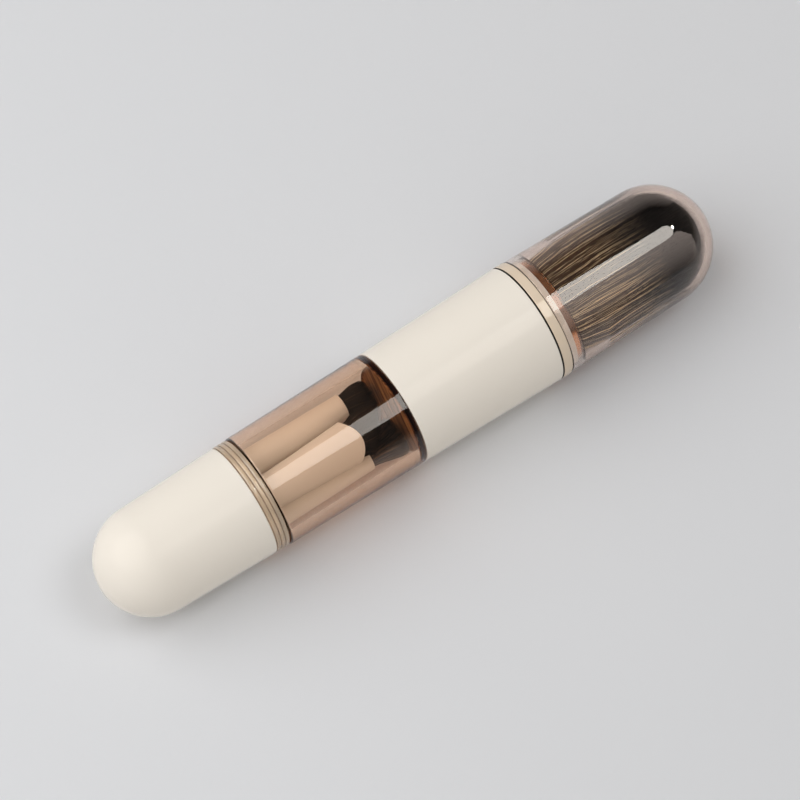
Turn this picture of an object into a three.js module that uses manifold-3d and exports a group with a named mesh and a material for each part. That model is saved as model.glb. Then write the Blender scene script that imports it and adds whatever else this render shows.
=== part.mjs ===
// Portable makeup brush: a capsule 155 mm long and 28 mm across that holds four brushes.
// A cream dome at one end carries three small brushes in a holder and plugs onto a clear
// tinted storage tube. A cream sleeve joins that tube to a powder brush at the other end,
// whose domed clear cap pulls off. Units are millimetres. The capsule lies along X with the
// powder brush at +X, and its origin is at the middle of the underside.
import * as THREE from 'three';
import { mergeVertices } from 'three/addons/utils/BufferGeometryUtils.js';
import Module from 'manifold-3d';

const wasm = await Module();
wasm.setup();

// Facets and strand counts
const BARREL_SIDES = 24; // the capsule's turned pieces, with a flat underneath
const BRUSH_SIDES = 12; // the small brushes' turned pieces
const DOME_STEPS = 6; // a dome's quarter arc
const FILLET_STEPS = 3;
const STRAND_SIDES = 3;
const POWDER_STRANDS = 214;
const SMALL_STRANDS = 30; // on each small brush
const WELD_REACH = 1e-4; // corners nearer than this are one corner
const ON_AXIS = 1e-9; // radii under this are rounding, so they are nought

// Clearances
const GLUE_GAP = 0.12; // radial, between pieces that are pressed or glued together
const SLIP_GAP = 0.15; // radial, between pieces that pull apart
const FACE_GAP = 0.2; // along the axis, between shoulders that face each other
const SEAM_GAP = 0.15; // the fine line where the sleeve meets the tube and the cap its ring
const SHADOW_GAP = 0.3; // the wider dark lines beside the two clear collars
const BRISTLE_GAP = 0.3; // all round the bristles, inside what covers them

// Outside of the capsule, from the dome's tip to the cap's: each piece's radius follows from
// the one before it, by a step at its seam and the draft of its wall
const DOME_TIP_R = 12.3;
const DOME_RISE = 0.5;
const COLLAR_STEP = 0.1;
const TUBE_STEP = 0.1;
const TUBE_RISE = 0.35;
const SLEEVE_RISE = 0.65;
const CAP_STEP = 0.1; // inwards
const CAP_FALL = 0.4; // inwards

// End dome, a cream shell
const DOME_SHANK = 23.2; // from the centre of its round end to its mouth
const DOME_WALL = 0.8;

// Ridged collar, the clear ring that is glued into the dome's mouth
const COLLAR_LENGTH = 3.4;
const RIDGE_COUNT = 3;
const RIDGE_DEPTH = 0.3;
const NECK_ROOM = 0.95; // how far its spigot reaches past the end of the tube's neck
const COLLAR_SPIGOT_WALL = 0.5;

// Storage tube, the clear tinted cup that covers the small brushes
const TUBE_LENGTH = 34.4;
const TUBE_NECK_LENGTH = 7.0;
const TUBE_NECK_WALL = 0.55;
const TUBE_FLOOR = 2.4;
const TUBE_FLOOR_INSET = 0.65; // how far the inner floor lies before the sleeve's seam
const TUBE_FILLET_R = 0.5;
const TUBE_SPIGOT_LENGTH = 6.0; // the part inside the sleeve
const TUBE_SPIGOT_WALL = 1.1;

// Body sleeve and the core inside it
const SLEEVE_LENGTH = 35.15;
const SLEEVE_WALL = 1.2;
const CORE_WALL = 1.1;
const CORE_WEB = 1.6; // the core's closed middle

// Neck collar, the clear ring that holds the powder brush and takes the cap
const RING_LENGTH = 2.45;
const SKIRT_LENGTH = 14.0; // the part inside the sleeve
const SKIRT_WALL = 0.9;
const NECK_SPIGOT_LENGTH = 3.3; // the part inside the cap's mouth
const NECK_SPIGOT_WALL = 0.55;

// Powder brush: a copper ferrule with a wider band at its mouth, a resin plug and bristles
const BAND_LENGTH = 1.75;
const FERRULE_TAIL_LENGTH = 8.5;
const FERRULE_WALL = 0.45;
const PLUG_LENGTH = 5.0;
const BACKING_LENGTH = 1.2; // the bristles' slice of set glue
const BACKING_DEPTH = 1.0; // how far the slice lies below the ferrule's band
const POWDER_STRAND_R = 0.5;
const POWDER_ROOT_R = 0.38;
const POWDER_FLARE_LENGTH = 5.5; // beyond the ferrule, until the head is at its widest
const STRAND_POINT_LENGTH = 3.0;

// Cap, the clear dome over the powder brush
const CAP_SHANK = 30.8;
const CAP_WALL = 1.65;
const CAP_MOUTH_WALL = 1.0; // thinner where it slides over the neck

// Holder and the small brushes in its sockets
const HOLDER_LENGTH = 10.0;
const SOCKET_DEPTH = 9.0;
const HANDLE_STEP = 0.2; // how much thinner the handles are than the ferrules
const HANDLE_REACH = 3.0; // bare handle between the holder and the ferrule
const TENON_LENGTH = 6.0; // the handle's reduced end inside the ferrule
const SMALL_FERRULE_SHARE = 0.352; // a small ferrule's radius in the room inside the tube
const SMALL_FERRULE_WALL = 0.35;
const BRUSH_CLEARANCE = 0.65; // between the ferrules and the tube's bore
const SMALL_TIP_GAP = 0.45; // between the bristle tips and the tube's floor
const SMALL_BACKING_LENGTH = 1.0;
const SMALL_BACKING_DEPTH = 1.5; // below the ferrule's mouth
const SMALL_STRAND_R = 0.2;
const SMALL_ROOT_R = 0.13;
const SMALL_POINT_LENGTH = 1.0;

// The small brushes: how far the bristles stand out of the ferrule, how much the ferrule
// narrows or widens towards its mouth, and how far the head bulges beyond the mouth
const EYESHADOW_BRISTLE = 7.4;
const EYESHADOW_TAPER = 0.5;
const EYESHADOW_BULGE = 0.3;
const CONTOUR_BRISTLE = 9.8;
const CONTOUR_FLARE = 1.3; // this ferrule is drawn wide
const CONTOUR_FLATTENING = 1.2; // and thin
const CONTOUR_BULGE = 0.25;
const CONTOUR_CROWN = 1.5; // how far its middle stands beyond its rim
const CONTOUR_SLANT = 4.5; // how much shorter it is cut at one side
const SMUDGE_BRISTLE = 8.8;
const SMUDGE_TAPER = 0.3;
const SMUDGE_BULGE = 0.4;

// Outside radii and stations along the axis, from the dome's tip to the cap's
const domeMouthR = DOME_TIP_R + DOME_RISE;
const collarR = domeMouthR + COLLAR_STEP;
const tubeMouthR = collarR + TUBE_STEP;
const tubeEndR = tubeMouthR + TUBE_RISE;
const sleeveEndR = tubeEndR + SLEEVE_RISE;
const capMouthR = sleeveEndR - CAP_STEP;
const capTipR = capMouthR - CAP_FALL;
const totalLength = DOME_TIP_R + DOME_SHANK + COLLAR_LENGTH + TUBE_LENGTH + SLEEVE_LENGTH
  + RING_LENGTH + CAP_SHANK + capTipR;
const domeCentreX = DOME_TIP_R - totalLength / 2;
const domeMouthX = domeCentreX + DOME_SHANK;
const tubeMouthX = domeMouthX + COLLAR_LENGTH;
const tubeEndX = tubeMouthX + TUBE_LENGTH;
const sleeveEndX = tubeEndX + SLEEVE_LENGTH;
const ringEndX = sleeveEndX + RING_LENGTH;
const capCentreX = ringEndX + CAP_SHANK;
const tubeFloorX = tubeEndX - TUBE_FLOOR_INSET;
const tubeShoulderX = tubeMouthX + SHADOW_GAP / 2;
const tubeNeckX = tubeShoulderX - TUBE_NECK_LENGTH;
const collarSpigotX = tubeNeckX - NECK_ROOM;
const holderFaceX = collarSpigotX - FACE_GAP;
const holderBackX = holderFaceX - HOLDER_LENGTH;
const neckSpigotX = ringEndX + NECK_SPIGOT_LENGTH;
const bandX = neckSpigotX - BAND_LENGTH;
const ferruleTailX = bandX - FERRULE_TAIL_LENGTH;
const backingX = bandX - BACKING_DEPTH;

// Radii that follow from one another, outside to inside
const domeInnerR = (x) =>
  THREE.MathUtils.mapLinear(x, domeCentreX, domeMouthX, DOME_TIP_R, domeMouthR) - DOME_WALL;
const collarSpigotR = domeInnerR(collarSpigotX) - GLUE_GAP;
const collarBoreR = collarSpigotR - COLLAR_SPIGOT_WALL;
const tubeNeckR = collarBoreR - SLIP_GAP;
const tubeBoreR = tubeNeckR - TUBE_NECK_WALL;
const holderR = domeInnerR(holderBackX) - GLUE_GAP;
const smallFerruleR = (tubeBoreR - BRUSH_CLEARANCE) * SMALL_FERRULE_SHARE;
const smallHandleR = smallFerruleR - HANDLE_STEP;
const socketCircleR = tubeBoreR - BRUSH_CLEARANCE - smallFerruleR;
const sleeveBoreR = tubeEndR - SLEEVE_WALL;
const coreR = sleeveBoreR - GLUE_GAP;
const neckBoreR = coreR - SKIRT_WALL;
const capMouthBoreR = capMouthR - CAP_MOUTH_WALL;
const capInnerMouthR = capMouthR - CAP_WALL;
const capInnerTipR = capTipR - CAP_WALL;
const neckSpigotR = capMouthBoreR - SLIP_GAP;
const bandSeatR = neckSpigotR - NECK_SPIGOT_WALL;
const bandR = bandSeatR - GLUE_GAP;
const ferruleTailR = neckBoreR - GLUE_GAP;
const ferruleBoreR = ferruleTailR - FERRULE_WALL;
const axisHeight = sleeveEndR; // the widest ring rests on the ground

/** A small brush: its socket's angle about the axis from straight up, in degrees, and the half
 * widths of its ferrule's mouth and of its head. The head is round unless cut says otherwise. */
function smallBrushPlan(name, angle, bristle, wide, deep, bulge, cut = {}) {
  const round = { wide: wide + bulge, deep: deep + bulge, crown: wide + bulge, slant: 0 };
  return { name, angle, bristle, mouth: { wide, deep }, head: { ...round, ...cut } };
}

const eyeshadowMouthR = smallFerruleR - EYESHADOW_TAPER;
const contourMouthWide = smallFerruleR + CONTOUR_FLARE;
const contourMouthDeep = smallFerruleR - CONTOUR_FLATTENING;
const smudgeMouthR = smallFerruleR - SMUDGE_TAPER;
const smallBrushes = [
  smallBrushPlan('eyeshadow', -86.5, EYESHADOW_BRISTLE, eyeshadowMouthR, eyeshadowMouthR, EYESHADOW_BULGE),
  smallBrushPlan('contour', 32.8, CONTOUR_BRISTLE, contourMouthWide, contourMouthDeep, CONTOUR_BULGE, {
    crown: CONTOUR_CROWN,
    slant: CONTOUR_SLANT,
  }),
  smallBrushPlan('smudge', 124.9, SMUDGE_BRISTLE, smudgeMouthR, smudgeMouthR, SMUDGE_BULGE),
];

const material = (color, roughness, metalness = 0, opacity = 1) =>
  new THREE.MeshStandardMaterial({ color, roughness, metalness, opacity, transparent: opacity < 1 });
const cream = material(0xeee6da, 0.2);
const clearChampagne = material(0xd9c2a8, 0.08, 0, 0.45);
const clearTint = material(0xb08a68, 0.05, 0, 0.4);
const clearCap = material(0xcbb5a3, 0.05, 0, 0.35);
const copper = material(0xb97650, 0.15, 1);
const champagneMetal = material(0xd8b48c, 0.4, 0.6);
const resin = material(0x8a6a4a, 0.4);
const handlePlastic = material(0xe4d3bd, 0.35);
const bristleFibre = material(0x2b211c, 0.8);

/** Merge a geometry's shared corners by place alone and drop triangles with no area. */
function welded(geometry) {
  const bare = new THREE.BufferGeometry().setAttribute('position', geometry.getAttribute('position'));
  bare.setIndex(geometry.getIndex());
  const merged = mergeVertices(bare, WELD_REACH);
  const corners = merged.getIndex().array;
  const kept = [];
  for (let i = 0; i < corners.length; i += 3) {
    const [a, b, c] = corners.subarray(i, i + 3);
    if (a !== b && b !== c && c !== a) kept.push(a, b, c);
  }
  merged.setIndex(kept);
  merged.computeVertexNormals();
  return merged;
}

/** Turn an outline of [x, radius] points about the X axis. Radii are measured to the flats,
 * and one flat faces straight down. An outline starts and ends on the axis, or is a loop. */
function turned(outline, sides = BARREL_SIDES) {
  const toCorner = 1 / Math.cos(Math.PI / sides);
  const points = outline.map(([x, r]) => new THREE.Vector2(r * toCorner, x));
  const onAxis = points[0].x === 0;
  if (!onAxis) points.push(points[0].clone());
  if (THREE.ShapeUtils.area(points) < 0) points.reverse();
  const lathe = new THREE.LatheGeometry(points, sides, Math.PI / sides);
  return welded(lathe.rotateZ(-Math.PI / 2));
}

/** Points on a quarter arc about (x, r), from one angle to another in quarter turns. */
function arc(x, r, radius, from, to, steps) {
  return Array.from({ length: steps + 1 }, (_, i) => {
    const angle = THREE.MathUtils.lerp(from, to, i / steps) * Math.PI / 2;
    const height = r + radius * Math.sin(angle);
    return [x + radius * Math.cos(angle), Math.abs(height) < ON_AXIS ? 0 : height];
  });
}

function toSolid(geometry) {
  const { array: triVerts } = geometry.getIndex();
  const { array: vertProperties } = geometry.getAttribute('position');
  return new wasm.Manifold(new wasm.Mesh({
    numProp: 3,
    vertProperties: new Float32Array(vertProperties),
    triVerts: new Uint32Array(triVerts),
  }));
}

function toGeometry(solid) {
  const { vertProperties, triVerts } = solid.getMesh();
  const geometry = new THREE.BufferGeometry();
  geometry.setAttribute('position', new THREE.BufferAttribute(new Float32Array(vertProperties), 3));
  geometry.setIndex(Array.from(triVerts));
  return welded(geometry);
}

function piece(name, geometry, look) {
  const mesh = new THREE.Mesh(geometry, look);
  mesh.name = name;
  return mesh;
}

/** The cream dome: a thin shell, closed round at -X and open towards +X. */
function endDome() {
  const innerTip = DOME_TIP_R - DOME_WALL;
  return turned([
    ...arc(domeCentreX, 0, innerTip, 2, 1, DOME_STEPS),
    [domeMouthX, domeInnerR(domeMouthX)],
    [domeMouthX, domeMouthR],
    ...arc(domeCentreX, 0, DOME_TIP_R, 1, 2, DOME_STEPS),
  ]);
}

/** The clear collar: a band of round ridges, and a thin spigot that is glued into the dome. */
function ridgedCollar() {
  const start = domeMouthX + SEAM_GAP;
  const end = tubeMouthX - SHADOW_GAP / 2;
  const pitch = (end - start) / RIDGE_COUNT;
  const band = [];
  for (let i = 0; i < RIDGE_COUNT; i += 1) {
    const x = start + i * pitch;
    band.push([x, collarR - RIDGE_DEPTH], [x + pitch / 4, collarR], [x + pitch * 3 / 4, collarR]);
  }
  return turned([
    [collarSpigotX, collarBoreR],
    [collarSpigotX, collarSpigotR],
    [start, collarSpigotR],
    ...band,
    [end, collarR - RIDGE_DEPTH],
    [end, collarBoreR],
  ]);
}

/** The tinted cup: its neck plugs into the collar and its hollow spigot into the sleeve. */
function storageTube() {
  const end = tubeEndX - SEAM_GAP / 2;
  const back = tubeFloorX + TUBE_FLOOR;
  const spigotEnd = end + TUBE_SPIGOT_LENGTH;
  return turned([
    [tubeFloorX, 0],
    ...arc(tubeFloorX - TUBE_FILLET_R, tubeBoreR - TUBE_FILLET_R, TUBE_FILLET_R, 0, 1, FILLET_STEPS),
    [tubeNeckX, tubeBoreR],
    [tubeNeckX, tubeNeckR],
    [tubeShoulderX, tubeNeckR],
    [tubeShoulderX, tubeMouthR],
    [end, tubeEndR],
    [end, coreR],
    [spigotEnd, coreR],
    [spigotEnd, coreR - TUBE_SPIGOT_WALL],
    [back, coreR - TUBE_SPIGOT_WALL],
    [back, 0],
  ]);
}

/** The cream sleeve that the hand holds, widening towards the powder brush. */
function bodySleeve() {
  const start = tubeEndX + SEAM_GAP / 2;
  const end = sleeveEndX - SHADOW_GAP / 2;
  return turned([
    [start, sleeveBoreR],
    [start, tubeEndR],
    [end, sleeveEndR],
    [end, sleeveBoreR],
  ]);
}

/** The core inside the sleeve, between the tube's spigot and the neck collar's skirt. */
function bodyCore() {
  const start = tubeEndX + TUBE_SPIGOT_LENGTH + FACE_GAP;
  const end = sleeveEndX - SKIRT_LENGTH - FACE_GAP;
  const middle = (start + end) / 2;
  const bore = coreR - CORE_WALL;
  return turned([
    [middle - CORE_WEB / 2, 0],
    [middle - CORE_WEB / 2, bore],
    [start, bore],
    [start, coreR],
    [end, coreR],
    [end, bore],
    [middle + CORE_WEB / 2, bore],
    [middle + CORE_WEB / 2, 0],
  ]);
}

/** The clear neck: a skirt inside the sleeve, the ring that shows, and the cap's spigot. */
function neckCollar() {
  const ringStart = sleeveEndX + SHADOW_GAP / 2;
  const ringEnd = ringEndX - SEAM_GAP / 2;
  const skirtStart = sleeveEndX - SKIRT_LENGTH;
  const bandSeatX = bandX - FACE_GAP;
  return turned([
    [skirtStart, neckBoreR],
    [skirtStart, coreR],
    [ringStart, coreR],
    [ringStart, sleeveEndR],
    [ringEnd, sleeveEndR],
    [ringEnd, neckSpigotR],
    [neckSpigotX, neckSpigotR],
    [neckSpigotX, bandSeatR],
    [bandSeatX, bandSeatR],
    [bandSeatX, neckBoreR],
  ]);
}

/** The copper ferrule: a tail in the neck's bore, and the wider band that shows. */
function powderFerrule() {
  return turned([
    [ferruleTailX, ferruleBoreR],
    [ferruleTailX, ferruleTailR],
    [bandX, ferruleTailR],
    [bandX, bandR],
    [neckSpigotX, bandR],
    [neckSpigotX, bandR - FERRULE_WALL],
    [bandX + FERRULE_WALL, bandR - FERRULE_WALL],
    [bandX + FERRULE_WALL, ferruleBoreR],
  ]);
}

/** The resin plug that backs the bristles inside the ferrule. */
function ferrulePlug() {
  const end = backingX - BACKING_LENGTH - FACE_GAP;
  const plugR = ferruleBoreR - GLUE_GAP;
  return turned([[end - PLUG_LENGTH, 0], [end - PLUG_LENGTH, plugR], [end, plugR], [end, 0]]);
}

/** The clear cap: thin at its mouth, where it slides over the neck, and round at +X. */
function powderCap() {
  const mouth = ringEndX + SEAM_GAP / 2;
  const shoulder = neckSpigotX + FACE_GAP;
  return turned([
    ...arc(capCentreX, 0, capInnerTipR, 0, 1, DOME_STEPS),
    [shoulder, capInnerMouthR],
    [shoulder, capMouthBoreR],
    [mouth, capMouthBoreR],
    [mouth, capMouthR],
    ...arc(capCentreX, 0, capTipR, 1, 0, DOME_STEPS),
  ]);
}

/** One three-sided strand through rings of { at, radius }, from a flat root to its point. */
function strand(rings, point) {
  const places = [];
  for (const { at, radius } of rings) {
    for (let side = 0; side < STRAND_SIDES; side += 1) {
      const angle = side / STRAND_SIDES * 2 * Math.PI;
      places.push(at.x, at.y + radius * Math.cos(angle), at.z + radius * Math.sin(angle));
    }
  }
  places.push(point.x, point.y, point.z);
  const faces = [];
  for (let side = 2; side < STRAND_SIDES; side += 1) faces.push(0, side, side - 1);
  for (let ring = 0; ring < rings.length; ring += 1) {
    for (let side = 0; side < STRAND_SIDES; side += 1) {
      const a = ring * STRAND_SIDES + side;
      const b = ring * STRAND_SIDES + (side + 1) % STRAND_SIDES;
      if (ring === rings.length - 1) {
        faces.push(a, b, rings.length * STRAND_SIDES);
      } else {
        faces.push(a, b, b + STRAND_SIDES, a, b + STRAND_SIDES, a + STRAND_SIDES);
      }
    }
  }
  const geometry = new THREE.BufferGeometry();
  geometry.setAttribute('position', new THREE.Float32BufferAttribute(places, 3));
  geometry.setIndex(faces);
  return toSolid(geometry);
}

/** A bristle head. Strands stand on a backing slice at sunflower places, each at the same
 * share of the head's width all along it, so that no two meet, and end on a round dome. A
 * slanted head is cut shorter towards one side of its width. */
function bristleHead(head) {
  const strands = [];
  for (let i = 0; i < head.count; i += 1) {
    const share = Math.sqrt((i + 0.5) / head.count);
    const angle = i * Math.PI * (3 - Math.sqrt(5));
    const cut = head.slant * (1 - share * Math.cos(angle)) / 2;
    const end = head.domeX + (head.tipX - head.domeX) * Math.sqrt(1 - share * share) - cut;
    const along = (x) => {
      const flare = THREE.MathUtils.clamp((x - head.rootX) / (head.bellyX - head.rootX), 0, 1);
      const settle = THREE.MathUtils.clamp((x - head.bellyX) / (head.domeX - head.bellyX), 0, 1);
      const width = (root, belly, dome) =>
        THREE.MathUtils.lerp(THREE.MathUtils.lerp(root, belly, flare), dome, settle);
      return new THREE.Vector3(
        x,
        share * Math.cos(angle) * width(...head.wide),
        share * Math.sin(angle) * width(...head.deep),
      );
    };
    const taperX = Math.max(head.bellyX + head.pointLength / 2, end - head.pointLength);
    strands.push(strand([
      { at: along(head.rootX - head.backing / 2), radius: head.rootR },
      { at: along(head.bellyX), radius: head.strandR },
      { at: along(taperX), radius: head.strandR },
    ], along(end)));
  }
  return toGeometry(wasm.Manifold.union([head.slice, ...strands]));
}

/** The powder brush's head: it leaves the ferrule and soon fills the cap. */
function powderBristles() {
  const reach = POWDER_STRAND_R + BRISTLE_GAP;
  const sliceR = ferruleBoreR - GLUE_GAP;
  const root = sliceR - POWDER_ROOT_R - GLUE_GAP;
  const widths = [root, capInnerMouthR - reach, capInnerTipR - reach];
  const slice = turned([
    [backingX - BACKING_LENGTH, 0], [backingX - BACKING_LENGTH, sliceR], [backingX, sliceR], [backingX, 0],
  ]);
  return bristleHead({
    count: POWDER_STRANDS,
    slice: toSolid(slice),
    backing: BACKING_LENGTH,
    rootX: backingX,
    bellyX: neckSpigotX + POWDER_FLARE_LENGTH,
    domeX: capCentreX,
    tipX: capCentreX + capInnerTipR - reach,
    wide: widths,
    deep: widths,
    rootR: POWDER_ROOT_R,
    strandR: POWDER_STRAND_R,
    pointLength: STRAND_POINT_LENGTH,
    slant: 0,
  });
}

/** Places of a small brush along the axis, from its handle's foot to its bristle tips. */
function smallStations(brush) {
  const tip = tubeFloorX - SMALL_TIP_GAP;
  const ferruleStart = holderFaceX + HANDLE_REACH;
  return {
    tip,
    ferruleStart,
    foot: holderFaceX - SOCKET_DEPTH + FACE_GAP,
    mouth: tip - brush.bristle,
    root: tip - brush.bristle - SMALL_BACKING_DEPTH,
  };
}

/** Draw a round piece out towards its far end, until its width and thickness there are
 * these shares of what they were. */
function drawnOut(geometry, start, end, wideShare, deepShare) {
  const places = geometry.getAttribute('position');
  for (let i = 0; i < places.count; i += 1) {
    const share = (places.getX(i) - start) / (end - start);
    places.setY(i, places.getY(i) * THREE.MathUtils.lerp(1, wideShare, share));
    places.setZ(i, places.getZ(i) * THREE.MathUtils.lerp(1, deepShare, share));
  }
  geometry.computeVertexNormals();
  return geometry;
}

/** Half the width and thickness of a small ferrule's bore, where it is narrower of two places. */
function smallBore(brush, ...places) {
  const { ferruleStart, mouth } = smallStations(brush);
  const bore = smallFerruleR - SMALL_FERRULE_WALL;
  const narrowest = (end) => Math.min(...places.map(
    (x) => bore * THREE.MathUtils.mapLinear(x, ferruleStart, mouth, 1, end / smallFerruleR),
  ));
  return { wide: narrowest(brush.mouth.wide), deep: narrowest(brush.mouth.deep) };
}

/** A small brush's handle: a rod whose reduced end is glued into the ferrule. */
function smallHandle(brush) {
  const { foot, ferruleStart } = smallStations(brush);
  const shoulder = ferruleStart - FACE_GAP;
  const bore = smallBore(brush, ferruleStart, ferruleStart + TENON_LENGTH);
  const narrowest = Math.min(bore.wide, bore.deep) - GLUE_GAP;
  return turned([
    [foot, 0], [foot, smallHandleR], [shoulder, smallHandleR], [shoulder, narrowest],
    [ferruleStart + TENON_LENGTH, narrowest], [ferruleStart + TENON_LENGTH, 0],
  ], BRUSH_SIDES);
}

/** A small ferrule: a thin tube, round at the handle and drawn to its mouth's shape. */
function smallFerrule(brush) {
  const { ferruleStart, mouth } = smallStations(brush);
  const inner = smallFerruleR - SMALL_FERRULE_WALL;
  const tube = turned([
    [ferruleStart, inner], [ferruleStart, smallFerruleR], [mouth, smallFerruleR], [mouth, inner],
  ], BRUSH_SIDES);
  const { wide, deep } = brush.mouth;
  return drawnOut(tube, ferruleStart, mouth, wide / smallFerruleR, deep / smallFerruleR);
}

/** A small brush's head, rooted inside its ferrule. */
function smallBristles(brush) {
  const { root, mouth, tip } = smallStations(brush);
  const bore = smallBore(brush, root - SMALL_BACKING_LENGTH, root, mouth);
  const wideSlice = bore.wide - GLUE_GAP;
  const deepSlice = bore.deep - GLUE_GAP;
  const slice = turned([
    [root - SMALL_BACKING_LENGTH, 0], [root - SMALL_BACKING_LENGTH, 1], [root, 1], [root, 0],
  ], BRUSH_SIDES).scale(1, wideSlice, deepSlice);
  const edge = SMALL_ROOT_R + GLUE_GAP;
  const belly = mouth + (tip - brush.head.slant - mouth) / 2;
  const wideHead = brush.head.wide - SMALL_STRAND_R;
  const deepHead = brush.head.deep - SMALL_STRAND_R;
  return bristleHead({
    count: SMALL_STRANDS,
    slice: toSolid(slice),
    backing: SMALL_BACKING_LENGTH,
    rootX: root,
    bellyX: belly,
    domeX: Math.max(belly + SMALL_POINT_LENGTH, tip - brush.head.crown),
    tipX: tip,
    slant: brush.head.slant,
    wide: [wideSlice - edge, wideHead, wideHead],
    deep: [deepSlice - edge, deepHead, deepHead],
    rootR: SMALL_ROOT_R,
    strandR: SMALL_STRAND_R,
    pointLength: SMALL_POINT_LENGTH,
  });
}

/** The holder: a block glued inside the dome, with one blind socket for each handle. */
function brushHolder() {
  const block = turned([[holderBackX, 0], [holderBackX, holderR], [holderFaceX, holderR], [holderFaceX, 0]]);
  const floor = holderFaceX - SOCKET_DEPTH;
  const mouth = holderFaceX + FACE_GAP;
  const bore = smallHandleR + SLIP_GAP;
  const sockets = smallBrushes.map(({ angle }) => toSolid(
    turned([[floor, 0], [floor, bore], [mouth, bore], [mouth, 0]], BRUSH_SIDES)
      .translate(0, 0, socketCircleR)
      .rotateX(THREE.MathUtils.degToRad(angle)),
  ));
  return toGeometry(toSolid(block).subtract(wasm.Manifold.union(sockets)));
}

/** One small brush, set on the socket circle with its flat side facing outwards. */
function smallBrush(brush) {
  const spoke = new THREE.Group();
  spoke.rotation.x = THREE.MathUtils.degToRad(brush.angle);
  const stand = new THREE.Group();
  stand.position.z = socketCircleR;
  stand.add(
    piece(`${brush.name}_handle`, smallHandle(brush), handlePlastic),
    piece(`${brush.name}_ferrule`, smallFerrule(brush), champagneMetal),
    piece(`${brush.name}_bristles`, smallBristles(brush), bristleFibre),
  );
  return spoke.add(stand);
}

const group = new THREE.Group();
group.position.z = axisHeight;
group.add(
  piece('storage_tube', storageTube(), clearTint),
  piece('body_sleeve', bodySleeve(), cream),
  piece('body_core', bodyCore(), handlePlastic),
  piece('neck_collar', neckCollar(), clearChampagne),
  piece('powder_ferrule', powderFerrule(), copper),
  piece('ferrule_plug', ferrulePlug(), resin),
  piece('powder_bristles', powderBristles(), bristleFibre),
  piece('powder_cap', powderCap(), clearCap),
  piece('end_dome', endDome(), cream),
  piece('ridged_collar', ridgedCollar(), clearChampagne),
  piece('brush_holder', brushHolder(), handlePlastic),
  ...smallBrushes.map(smallBrush),
);

export default group;
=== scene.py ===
# %% [markdown]
# # A portable makeup brush, part by part
#
# The real object is a capsule that could stand in a pen cup. A powder brush sits under a
# clear domed cap, a cream sleeve is the grip, and a tinted clear tube at the other end covers
# three small brushes that stand in a cream dome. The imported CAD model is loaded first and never
# moved: every surface below is worked out around it, in metres, with +X towards the powder brush.

import math

import bmesh
import bpy
import numpy as np
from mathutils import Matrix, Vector
from mathutils.geometry import tessellate_polygon


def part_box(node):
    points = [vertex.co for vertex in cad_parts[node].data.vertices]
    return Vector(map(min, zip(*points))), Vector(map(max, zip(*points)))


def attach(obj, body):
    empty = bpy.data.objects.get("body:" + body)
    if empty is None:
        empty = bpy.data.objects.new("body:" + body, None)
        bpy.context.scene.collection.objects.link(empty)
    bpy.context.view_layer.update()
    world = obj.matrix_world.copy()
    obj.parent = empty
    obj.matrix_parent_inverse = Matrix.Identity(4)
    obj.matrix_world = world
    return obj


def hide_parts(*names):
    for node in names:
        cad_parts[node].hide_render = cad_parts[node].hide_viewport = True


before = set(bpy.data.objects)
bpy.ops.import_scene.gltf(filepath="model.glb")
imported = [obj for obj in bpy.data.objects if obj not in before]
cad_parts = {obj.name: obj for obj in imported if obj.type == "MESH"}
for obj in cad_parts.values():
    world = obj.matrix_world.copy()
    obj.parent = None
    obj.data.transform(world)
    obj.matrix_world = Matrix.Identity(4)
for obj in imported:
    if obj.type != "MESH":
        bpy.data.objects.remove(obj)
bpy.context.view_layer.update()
scene = bpy.context.scene
scene.view_settings.view_transform = "Standard"

# %% [markdown]
# ## Measuring the frame
#
# Turned pieces are easiest to draw in millimetres, as an outline along the axis. Each piece's
# ends and radius are read off the CAD model, so the fine surfaces land where the coarse ones are.
# Only what a box can't tell, such as a wall's thickness, is written as a number here.

# %% Ends and radii of the turned pieces
MM = 0.001


def measure(node):
    """Where a turned piece starts and stops along X, and its radius, in millimetres."""
    low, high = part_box(node)
    return low.x / MM, high.x / MM, (high.z - low.z) / 2 / MM


sleeve_low, sleeve_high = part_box("body_sleeve")
AXIS_Z = (sleeve_low.z + sleeve_high.z) / 2 / MM

dome_tip_x, dome_mouth_x, dome_r = measure("end_dome")
collar_spigot_x, collar_end_x, collar_r = measure("ridged_collar")
tube_neck_x, tube_spigot_x, tube_r = measure("storage_tube")
sleeve_start_x, sleeve_end_x, sleeve_r = measure("body_sleeve")
core_start_x, core_end_x, core_r = measure("body_core")
skirt_start_x, neck_spigot_x, neck_r = measure("neck_collar")
ferrule_tail_x, ferrule_mouth_x, band_r = measure("powder_ferrule")
cap_mouth_x, cap_tip_x, cap_r = measure("powder_cap")
print(f"axis at {AXIS_Z:.2f} mm, sleeve {sleeve_start_x:.2f} to {sleeve_end_x:.2f} mm")

# %% [markdown]
# ## The camera
#
# A long lens looks down steeply from the front left, so the capsule runs from the lower left
# to the upper right and shows little perspective. The place comes from the angle, the distance
# and the point that the picture is centred on.

# %% Camera
CAMERA_TARGET = Vector((-1.74, 0.61, AXIS_Z)) * MM
CAMERA_DISTANCE = 0.765
CAMERA_ELEVATION = math.radians(65.44)
CAMERA_HEADING = math.radians(34.44)
CAMERA_LENS = 161.37

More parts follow.
